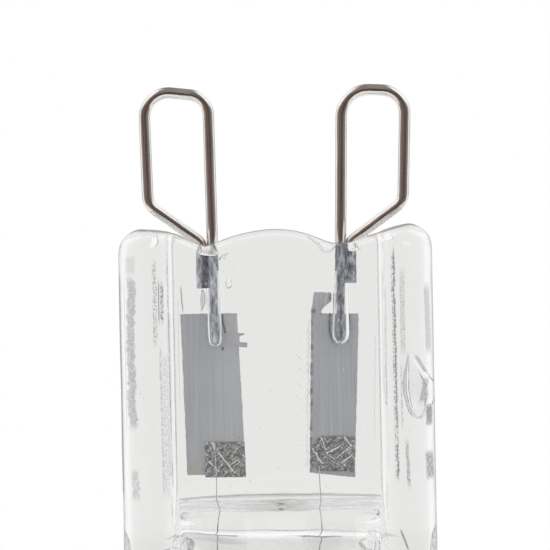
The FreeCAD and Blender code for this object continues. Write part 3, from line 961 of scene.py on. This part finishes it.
def foil_finish():
    material, f = new_finish("sealing_foil")
    streaks = f.noise(f.millimetres(scale=(9, 9, 0.18)), detail=4.0, roughness=0.6)
    place = f.millimetres()
    specks = f.noise(place, scale=7.0, detail=2.0)
    tone = f.ramp(streaks, [(0.3, (0.58, 0.59, 0.62)), (0.5, (0.64, 0.65, 0.68)), (0.7, (0.70, 0.71, 0.73))])
    x, z = f.axis(place, "X"), f.axis(place, "Z")
    # The left foil is paler towards its inner side
    paler_inner_side = f.mix(f.step(x, -3.6, -2.2) * f.step(x, 0.5, -0.5) * 0.22, tone, (0.9, 0.91, 0.92))
    spots = f.step(f.noise(place, scale=3.1, detail=2.0), 0.745, 0.765)
    spotted = f.mix(spots, paler_inner_side, (0.16, 0.16, 0.17))
    heat = f.noise(f.millimetres(scale=(1, 1, 1.6)), scale=1.7, detail=2.0)
    hues = f.ramp(heat, [(0.35, (0.70, 0.61, 0.57)), (0.5, (0.66, 0.66, 0.55)), (0.62, (0.50, 0.56, 0.70))])
    stained = f.step(z, -9.75, -10.2) * f.step(x, -3.0, -3.5)
    heated = f.mix(stained * 0.75, spotted, hues)
    # Painted light from the relief: a painted highlight where the flap's curl and seam stand out, and painted
    # shade in the creases, folds and dents
    raised = f.node("ShaderNodeAttribute", {"attribute_name": "raised"}, output="Fac")
    colour = f.mix(f.step(raised, 0.0, 1.0) * 0.8, heated, (0.95, 0.95, 0.96))
    crease_painted_shade = f.step(raised, 0.0, -1.0)
    with_painted_crease_shade = f.mix(crease_painted_shade * 0.75, colour, (0.20, 0.21, 0.25))
    f.surface(
        Base_Color=with_painted_crease_shade, Metallic=0.15, Roughness=0.45 + 0.2 * specks, Normal=f.bump(streaks, 0.006),
    )
    return material


def weld_finish(name, dark, light, ridge):
    """Dull weld metal with faint heat stains. Its raised ridges are bright."""
    material, f = new_finish(name)
    grain = f.noise(f.millimetres(), scale=9.0, detail=4.0, roughness=0.65)
    heat = f.noise(f.millimetres(), scale=1.6, detail=2.0)
    stain = f.ramp(heat, [(0.38, (0.93, 0.96, 1.0)), (0.5, WHITE), (0.62, (1.0, 0.96, 0.91))])
    metal = f.ramp(grain, [(0.35, dark), (0.65, light)])
    ground = f.mix(1.0, metal, stain, "MULTIPLY")
    raised = f.node("ShaderNodeAttribute", {"attribute_name": "raised"}, output="Fac")
    ridges = f.step(raised, 0.22, 0.7)
    colour = f.mix(ridges, ground, ridge)
    f.surface(
        Base_Color=colour, Metallic=0.35 + 0.65 * ridges, Roughness=0.25 + 0.25 * grain - 0.2 * ridges,
        Normal=f.bump(grain, 0.02),
    )
    return material


def tungsten_finish():
    material, f = new_finish("tungsten")
    grain = f.noise(f.millimetres(), scale=10.0, detail=3.0)
    drawn = f.ramp(grain, [(0.3, (0.30, 0.30, 0.31)), (0.7, (0.46, 0.46, 0.47))])
    sealed = f.step(f.axis(f.millimetres(), "Z"), -14.2, -13.6)
    colour = f.mix(sealed * 0.85, drawn, (0.9, 0.9, 0.92))
    f.surface(Base_Color=colour, Metallic=0.6 - 0.4 * sealed, Roughness=0.35 + 0.15 * grain)
    return material


def floor_finish():
    material, f = new_finish("pale_floor")
    tone = f.noise(f.millimetres(), scale=0.02, detail=2.0)
    colour = f.ramp(tone, [(0.3, (0.86, 0.86, 0.85)), (0.7, (0.89, 0.89, 0.88))])
    f.surface(Base_Color=colour, Roughness=0.6)
    return material


# Wire loops

LEFT_LOOP_CORNERS = (
    (-2.83, -4.4), (-2.96, 6.94), (-5.93, 7.30), (-5.81, 2.0), (-3.405, 0.26), (-3.375, -1.87),
)
LEFT_LOOP_BENDS = (0.95, 1.12, 0.85, 0.4)
RIGHT_LOOP_CORNERS = (
    (2.93, -4.4), (3.2, 7.19), (6.14, 7.05), (5.95, 1.93), (3.49, 0.17), (3.46, -1.75),
)
RIGHT_LOOP_BENDS = (1.25, 1.1, 0.85, 0.4)


def loop(corners, radii):
    return bent_wire([(x, 0, z) for x, z in corners], radii, WIRE_DIAMETER, sides=32, bend_steps=16)


nickel = nickel_finish()
foil = foil_finish()
tungsten = tungsten_finish()

finished(
    loop(LEFT_LOOP_CORNERS, LEFT_LOOP_BENDS), "left_wire_loop", nickel, ["loop_pin_left"])
finished(
    loop(RIGHT_LOOP_CORNERS, RIGHT_LOOP_BENDS), "right_wire_loop", nickel, ["loop_pin_right"])


# Flaws in the quartz

STRAND_TOP = -3.4
STRAND_LENGTH = 6.8
STRAND_STEP = 0.31
STRAND_PLACES = 23


def edge_strand(phase):
    """One of two hair-fine hollows that twist about each other along the right foil's left edge."""
    places = []
    for k in range(STRAND_PLACES):
        z = STRAND_TOP - STRAND_STEP * k
        middle_x = blend(1.45, 1.26, (STRAND_TOP - z) / STRAND_LENGTH)
        places.append((middle_x + (0.07 if (k + phase) % 2 else -0.06), z))
    return air_line(places, 0.2, 0.06)


# Flat flaws under the crown that shine white: place, half width, half length, turn in the picture and tip
GLINTS = (
    ((-3.05, -0.6, -0.27), 0.46, 0.3, 3, 20), ((3.6, -0.6, -0.2), 0.26, 0.25, -12, 20),
    ((5.32, -1.3, 0.2), 0.2, 0.14, -10, 35), ((5.96, -1.3, 0.07), 0.17, 0.1, 10, 35),
    ((6.6, -1.0, 0.0), 0.14, 0.12, 20, 35), ((-5.61, -1.2, 0.2), 0.11, 0.3, 12, 35),
)
GLINT_HALF_THICKNESS = 0.015
CRACK_HALF_SIZES = (0.012, 0.07, 0.2)
CRACK_COUNT = 9
WEB_SEEDS = 44
RAIL_SEEDS = 22

# Gas bubbles: place, half sizes, narrowing and lean of the top, turn in the picture, segments
BUBBLES = (
    ((6.14, -0.5, -6.5), (0.42, 0.4, 1.55), (0.8, -0.2), -3, 40),
    ((-2.15, -0.4, -1.67), (0.16, 0.15, 0.24), (0, 0), 0, 24),
    ((-3.37, 0.0, -2.45), (0.15, 0.14, 0.5), (0.6, 0.5), 180, 24),
    ((-2.42, -0.5, -0.42), (0.035, 0.06, 0.3), (0, 0), 48, 16),
    ((-2.3, -0.5, -0.5), (0.06, 0.06, 0.05), (0, 0), 0, 16),
    ((-2.2, -0.45, -0.3), (0.03, 0.05, 0.16), (0, 0), 40, 16),
    ((3.62, -0.6, 0.02), (0.03, 0.05, 0.13), (0, 0), 60, 16),
    ((3.78, -0.55, -0.12), (0.03, 0.05, 0.14), (0, 0), -35, 16),
    ((3.92, -0.55, -0.2), (0.025, 0.05, 0.12), (0, 0), 50, 16),
)

# Gaps round the loops' legs: depth below the pins' plane and radius
LEFT_CHANNEL = (
    (0.9, 0.02), (0.95, 0.28), (1.3, 0.31), (2.0, 0.345), (2.8, 0.355),
    (3.6, 0.36), (4.2, 0.36), (4.42, 0.33), (4.56, 0.24), (4.63, 0.1),
)
RIGHT_CHANNEL = (
    (1.0, 0.02), (1.05, 0.28), (1.5, 0.33), (2.3, 0.35), (3.0, 0.38),
    (3.7, 0.43), (4.15, 0.44), (4.4, 0.36), (4.58, 0.2), (4.66, 0.06),
)

# Fine lines of air: places across and up, at the crown and at the right rail's outer side
CROWN_LINE = ((1.45, 0.32), (1.95, 0.02), (2.2, -0.27), (2.55, -0.3), (2.75, -0.15))
RAIL_LINE = ((7.02, -12.35), (6.84, -12.8))


def glint(place, half_width, half_length, turn, tip):
    half_sizes = (half_width, half_length, GLINT_HALF_THICKNESS)
    return bubble(place, half_sizes, turn=math.radians(turn), segments=16, tip=math.radians(tip))


def hair_cracks():
    """Fine cracks in the quartz that run up and outwards from the right foil's left edge."""
    draw = random.Random(21)
    cracks = []
    for k in range(CRACK_COUNT):
        foot_z = -3.75 - 0.68 * k - draw.uniform(0, 0.2)
        edge_x = blend(1.3, 1.12, (-3.2 - foot_z) / 7.3)
        place = (edge_x - 0.2 - draw.uniform(0, 0.1), FOIL_FRONT, foot_z + 0.16)
        lean = math.radians(draw.uniform(-48, -34))
        cracks.append(bubble(place, CRACK_HALF_SIZES, turn=lean, segments=14))
    return cracks


def seeds():
    """Tiny bubbles that are scattered through the web and the rails."""
    draw = random.Random(34)
    web = [
        (draw.uniform(-4.2, 4.2), draw.uniform(-1.1, 0.1), draw.uniform(-11.8, -0.6))
        for _ in range(WEB_SEEDS)]
    rails = [
        (draw.choice((-1, 1)) * draw.uniform(5.4, 6.6), draw.uniform(-1.7, -0.4), draw.uniform(-12, -0.6))
        for _ in range(RAIL_SEEDS)]
    made = []
    for place in web + rails:
        size = draw.uniform(0.012, 0.028)
        made.append(bubble(place, (size, size, size * 1.5), segments=10))
    return made


# Envelope

envelope = join([
    outer_wall(),
    gas_space(),
    pin_channel(-2.9, 0.015, LEFT_CHANNEL),
    pin_channel(3.055, -0.0275, RIGHT_CHANNEL),
    *[bubble(place, half_sizes, pull, math.radians(turn), segments)
      for place, half_sizes, pull, turn, segments in BUBBLES],
    air_line(CROWN_LINE, -0.75, 0.09),
    edge_strand(0),
    edge_strand(1),
    air_line(RAIL_LINE, -0.9, 0.05),
    *[glint(*flaw) for flaw in GLINTS],
    *hair_cracks(),
    *seeds(),
])
ripple(envelope, 0.03, 2.6, (3, 7, 11))
finished(envelope, "quartz_envelope_clear", quartz_finish(), ["quartz_envelope"], sharp_angle=80)


# Foils, weld strips and weld tabs: corners at the upper left, upper right, lower left and lower right

LEFT_FOIL_CORNERS = ((-4.42, -3.055), (-1.80, -3.06), (-4.25, -10.49), (-1.54, -10.59))
RIGHT_FOIL_CORNERS = ((1.62, -3.12), (3.80, -3.19), (1.42, -10.5), (3.49, -10.77))
FLAP_CORNERS = ((1.76, -2.16), (2.56, -2.2), (1.6, -3.2), (2.56, -3.2))
LEFT_STRIP_CORNERS = ((-2.83, -3.95), (-1.37, -3.98), (-2.83, -4.58), (-1.37, -4.64))
RIGHT_STRIP_CORNERS = ((2.9, -3.95), (3.75, -3.98), (2.9, -4.55), (3.73, -4.57))
LEFT_TAB_CORNERS = ((-3.4, -8.98), (-1.56, -9.0), (-3.4, -10.63), (-1.54, -10.66))
RIGHT_TAB_CORNERS = ((1.5, -8.84), (3.52, -8.8), (1.44, -10.4), (3.45, -10.5))

finished(
    sheet_between(
        LEFT_FOIL_CORNERS, 64, 130, FOIL_FRONT, FOIL_THICKNESS,
        edge_wander=0.02, wave=0.01, seed=3, relief=left_foil_creases),
    "left_sealing_foil", foil, ["sealing_foil_left"], sharp_angle=30)
finished(
    join([
        sheet_between(
            RIGHT_FOIL_CORNERS, 56, 130, FOIL_FRONT, FOIL_THICKNESS,
            edge_wander=0.02, wave=0.01, seed=5, relief=right_foil_creases),
        sheet_between(
            FLAP_CORNERS, 20, 20, FOIL_FRONT, FOIL_THICKNESS,
            edge_wander=0.02, wave=0.02, seed=8, right_edge=torn_edge, relief=flap_folds),
    ]),
    "right_sealing_foil", foil, ["sealing_foil_right"], sharp_angle=30)

strip_finish = weld_finish("weld_strip_metal", (0.62, 0.62, 0.63), (0.74, 0.74, 0.75), (0.85, 0.85, 0.85))
tab_finish = weld_finish("hatched_weld_tab", (0.14, 0.138, 0.138), (0.56, 0.55, 0.54), WHITE)
finished(
    sheet_between(
        LEFT_STRIP_CORNERS, 28, 16, STRIP_FRONT, STRIP_THICKNESS,
        edge_wander=0.012, seed=11, right_edge=strip_ears),
    "left_weld_strip", strip_finish, ["pin_weld_strip_left"])
finished(
    sheet_between(
        RIGHT_STRIP_CORNERS, 16, 12, STRIP_FRONT, STRIP_THICKNESS, edge_wander=0.01, seed=12),
    "right_weld_strip", strip_finish, ["pin_weld_strip_right"])

LEFT_TAB_RIDGES = (
    ((-3.05, -9.06), (-2.6, -9.71)), ((-2.6, -9.71), (-2.07, -10.4)), ((-3.23, -9.88), (-2.79, -10.37)),
    ((-2.17, -10.01), (-1.85, -9.78)), ((-3.02, -9.0), (-2.97, -9.36)), ((-2.96, -9.02), (-2.93, -9.3)),
)
RIGHT_TAB_RIDGES = (
    ((1.53, -9.39), (2.02, -10.08)), ((2.21, -9.59), (2.84, -9.29)), ((2.64, -9.84), (3.27, -9.36)),
    ((3.03, -8.86), (3.33, -9.3)), ((1.92, -8.78), (2.15, -9.46)), ((2.15, -9.59), (2.58, -9.9)),
    ((3.01, -9.97), (3.38, -9.73)),
)
left_hatching = hatching(LEFT_TAB_RIDGES, (-3.4, -1.55), (-10.64, -8.99), scratches=260, seed=17)
finished(
    sheet_between(
        LEFT_TAB_CORNERS, 96, 84, TAB_FRONT, TAB_THICKNESS,
        edge_wander=0.012, seed=13, relief=left_hatching),
    "left_weld_tab", tab_finish, ["tail_weld_tab_left"])
right_hatching = hatching(RIGHT_TAB_RIDGES, (1.45, 3.5), (-10.45, -8.85), scratches=210, seed=23)
finished(
    sheet_between(
        RIGHT_TAB_CORNERS, 96, 84, TAB_FRONT, TAB_THICKNESS,
        edge_wander=0.012, seed=14, top_edge=arched_top, relief=right_hatching),
    "right_weld_tab", tab_finish, ["tail_weld_tab_right"])


# Filament and its hook

LEFT_TAIL = (
    (-2.95, -9.02), (-2.93, -9.9), (-2.905, -10.64), (-2.889, -11.96), (-2.74, -12.65), (-2.84, -13.55),
    (-2.9, -17.2),
)
RIGHT_TAIL = (
    (1.845, -10.2), (1.85, -10.62), (1.897, -12.04), (1.837, -12.73), (1.9, -13.64), (1.9, -17.2),
)
BARE_BEND = ((-0.75, -29.6), (-0.65, -31.5), (0.65, -31.5), (0.72, -29.6))
HOOK = ((-0.25, -34.83), (-0.25, -31.28), (0.65, -31.28), (0.65, -32.08))


def coiled_leg(top_x, end_x):
    """One coiled leg: a small circle screwed along the leg, then stood in its place."""
    top = Vector((top_x, TAIL_DEPTH, COIL_TOP))
    end = Vector((end_x, TAIL_DEPTH, COIL_END))
    length = (end - top).length
    turns = round(length / COIL_PITCH)
    wire_centre = (COIL_RADIUS - COIL_WIRE_RADIUS, 0, 0)
    deselect()
    bpy.ops.mesh.primitive_circle_add(
        vertices=8, radius=COIL_WIRE_RADIUS, location=wire_centre, rotation=(math.pi / 2, 0, 0))
    leg = bpy.context.object
    bake_place(leg)
    apply_modifier(
        leg, "SCREW", axis="Z", angle=2 * math.pi, screw_offset=length / turns, iterations=turns, steps=20,
        render_steps=20, use_merge_vertices=False)
    edit(leg)
    bpy.ops.mesh.select_all(action="SELECT")
    bpy.ops.mesh.fill_holes(sides=0)
    bpy.ops.object.mode_set(mode="OBJECT")
    leg.rotation_euler = (end - top).to_track_quat("Z", "Y").to_euler()
    leg.location = top
    bake_place(leg)
    face_outwards(leg)
    return leg


def tail(places):
    corners = [(x, TAIL_DEPTH, z) for x, z in places]
    return bent_wire(corners, [TAIL_BEND] * (len(places) - 2), TAIL_DIAMETER, sides=10, bend_steps=6)


filament = join([
    tail(LEFT_TAIL),
    tail(RIGHT_TAIL),
    coiled_leg(-2.9, -0.65),
    coiled_leg(1.9, 0.65),
    bent_wire([(x, TAIL_DEPTH, z) for x, z in BARE_BEND], [0.5, 0.5], BARE_BEND_DIAMETER, sides=12),
])
finished(filament, "coiled_filament", tungsten, ["filament"])
hook = bent_wire([(0, y, z) for y, z in HOOK], [0.3, 0.3], HOOK_DIAMETER, sides=16)
finished(hook, "filament_support_hook", tungsten, ["filament_hook"])


# Stage, light and camera. The floor's radius is in metres

FLOOR_RADIUS = 0.085
floor_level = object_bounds()[0].z
deselect()
bpy.ops.mesh.primitive_circle_add(
    vertices=96, radius=FLOOR_RADIUS, fill_type="NGON", location=(0, 0, floor_level))
floor = bpy.context.object
bake_place(floor)
floor.name = "pale_floor"
floor.data.materials.append(floor_finish())


def studio_world():
    """Even light for matt things. Shiny and clear things see a pale studio that is dim behind the camera."""
    world = bpy.data.worlds.new("soft_studio")
    bpy.context.scene.world = world
    world.use_nodes = True
    f = Finish(world.node_tree)
    way = f.node("ShaderNodeTexCoord", output="Generated")
    side, depth, height = [f.axis(way, name) for name in "XYZ"]
    path = "ShaderNodeLightPath"
    opposite = f.step(abs(depth), 0.88, 0.985) + f.step(abs(side), 0.93, 0.99)
    walls = f.mix(opposite, WHITE, (0.86, 0.86, 0.85))
    turned_back = f.step(f.node(path, output="Glossy Depth"), 0.4, 0.6)
    dim_side = f.step(depth, -0.4, -0.8) * f.step(abs(height), 0.45, 0.2)
    inside = f.mix(dim_side * turned_back, walls, (0.42, 0.42, 0.43))
    room = f.ramp(side * 0.5 + 0.5, [
        (0.04, (0.25, 0.21, 0.19)), (0.20, (0.09, 0.066, 0.06)), (0.34, (0.20, 0.13, 0.115)),
        (0.45, (0.13, 0.085, 0.075)), (0.50, (0.03, 0.023, 0.021)), (0.56, (0.10, 0.075, 0.07)),
        (0.74, (0.08, 0.067, 0.063)), (0.96, (0.23, 0.21, 0.20))])
    soft_boxes = f.step(abs(side) * height, 0.26, 0.38)
    front = f.mix(soft_boxes, room, WHITE)
    overhead = f.step(height, 0.25, 0.45) * f.step(abs(side), 0.4, 0.12)
    eye_level = f.step(abs(height), 0.35, 0.1)
    far_wall = f.mix(f.step(depth, 0.4, 0.8) * eye_level, WHITE, (0.36, 0.35, 0.34))
    plain = f.mix(overhead, f.mix(f.step(depth, 0.15, -0.15), far_wall, front), (0.24, 0.22, 0.195))
    through = f.step(f.node(path, output="Transmission Depth"), 0.4, 0.6)
    studio = f.mix(through, plain, inside)
    diffuse = f.step(f.node(path, output="Diffuse Depth"), 0.4, 0.6)
    seen = f.mix(diffuse, studio, WHITE)
    colour = f.mix(f.node(path, output="Is Camera Ray"), seen, WHITE)
    light = f.node("ShaderNodeBackground", None, {"Color": colour, "Strength": 1.0})
    f.node("ShaderNodeOutputWorld", None, {"Surface": light})


studio_world()

SENSOR_WIDTH = 36
CAMERA_DISTANCE = 200.0
FRAME_WIDTH = 25.38
CAMERA_ELEVATION = math.radians(2)
CAMERA_ROLL = math.radians(1.1)
AIM = Vector((-0.02, 0, -1.338))

camera_data = bpy.data.cameras.new("camera")
camera_data.sensor_width = SENSOR_WIDTH
camera_data.lens = SENSOR_WIDTH * CAMERA_DISTANCE / FRAME_WIDTH
camera_data.clip_start = 0.01
camera = bpy.data.objects.new("camera", camera_data)
bpy.context.scene.collection.objects.link(camera)
bpy.context.scene.camera = camera
backwards = Vector((0, -math.cos(CAMERA_ELEVATION), math.sin(CAMERA_ELEVATION)))
camera.location = (AIM + backwards * CAMERA_DISTANCE) * MM
camera.rotation_euler = (
    backwards.to_track_quat("Z", "Y") @ Euler((0, 0, -CAMERA_ROLL)).to_quaternion()).to_euler()
